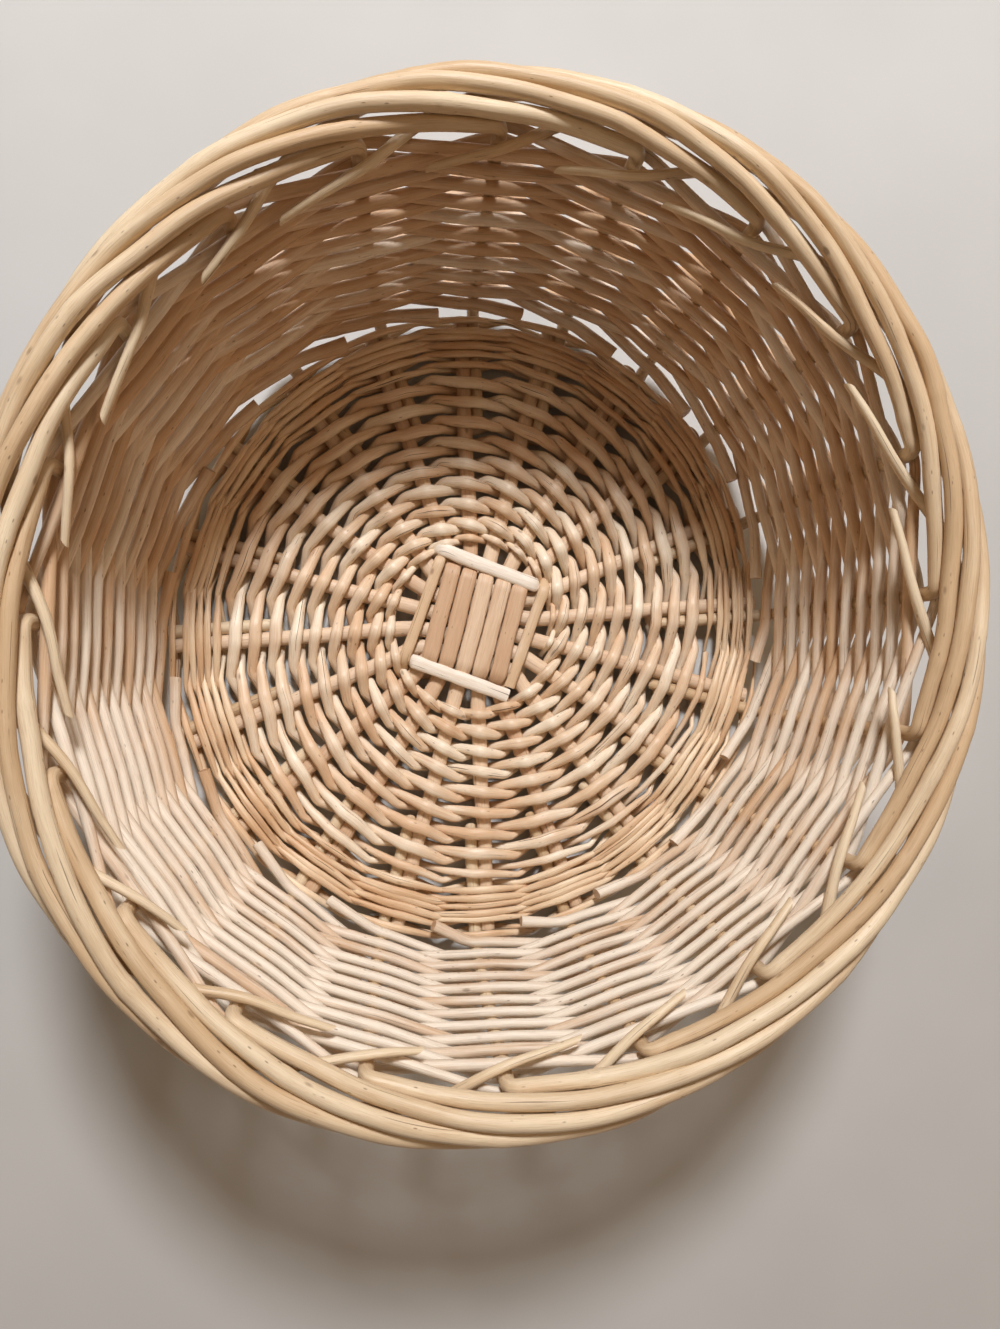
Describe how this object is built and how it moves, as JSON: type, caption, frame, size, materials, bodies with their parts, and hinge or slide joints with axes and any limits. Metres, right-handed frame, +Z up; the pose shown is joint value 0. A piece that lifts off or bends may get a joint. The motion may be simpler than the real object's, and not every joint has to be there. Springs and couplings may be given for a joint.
{
  "type": "wicker bowl",
  "caption": "Shallow round wicker bowl of peeled willow rods with a pierced-stick base, a randed wall and a rolled border, for holding loose things",
  "frame": {"origin": "middle of the base, on the surface that the bowl stands on", "axes": "+Z is up out of the mouth, +Y runs along the pierced sticks and the rim's longer way, +X runs along the through sticks"},
  "size_m": [0.4002, 0.4238, 0.1673],
  "materials": {
    "stick_willow": "shaved willow, matte",
    "tie_willow": "split willow, matte",
    "base_willow": "peeled willow, satin",
    "stake_willow": "peeled willow, satin",
    "wall_willow": "peeled willow, satin"
  },
  "bodies": {
    "root": {"pierced_stick_1": "stick_willow", "through_stick_1": "stick_willow", "pierced_stick_2": "stick_willow", "through_stick_2": "stick_willow", "pierced_stick_3": "stick_willow", "through_stick_3": "stick_willow", "pierced_stick_4": "stick_willow", "through_stick_4": "stick_willow", "pierced_stick_5": "stick_willow", "through_stick_5": "stick_willow", "slath_tie_a": "tie_willow", "slath_tie_b": "tie_willow", "base_weaver_a": "base_willow", "base_weaver_b": "base_willow", "edge_weaver_a": "base_willow", "edge_weaver_b": "base_willow", "stake_01": "stake_willow", "wall_weaver_01": "wall_willow", "stake_02": "stake_willow", "wall_weaver_02": "wall_willow", "stake_03": "stake_willow", "wall_weaver_03": "wall_willow", "stake_04": "stake_willow", "wall_weaver_04": "wall_willow", "stake_05": "stake_willow", "wall_weaver_05": "wall_willow", "stake_06": "stake_willow", "wall_weaver_06": "wall_willow", "stake_07": "stake_willow", "wall_weaver_07": "wall_willow", "stake_08": "stake_willow", "wall_weaver_08": "wall_willow", "stake_09": "stake_willow", "wall_weaver_09": "wall_willow", "stake_10": "stake_willow", "wall_weaver_10": "wall_willow", "stake_11": "stake_willow", "wall_weaver_11": "wall_willow", "stake_12": "stake_willow", "wall_weaver_12": "wall_willow", "stake_13": "stake_willow", "wall_weaver_13": "wall_willow", "stake_14": "stake_willow", "wall_weaver_14": "wall_willow", "stake_15": "stake_willow", "wall_weaver_15": "wall_willow", "stake_16": "stake_willow", "wall_weaver_16": "wall_willow", "stake_17": "stake_willow", "wall_weaver_17": "wall_willow", "stake_18": "stake_willow", "wall_weaver_18": "wall_willow", "stake_19": "stake_willow", "wall_weaver_19": "wall_willow", "stake_20": "stake_willow", "wall_weaver_20": "wall_willow"}
  },
  "joints": []
}
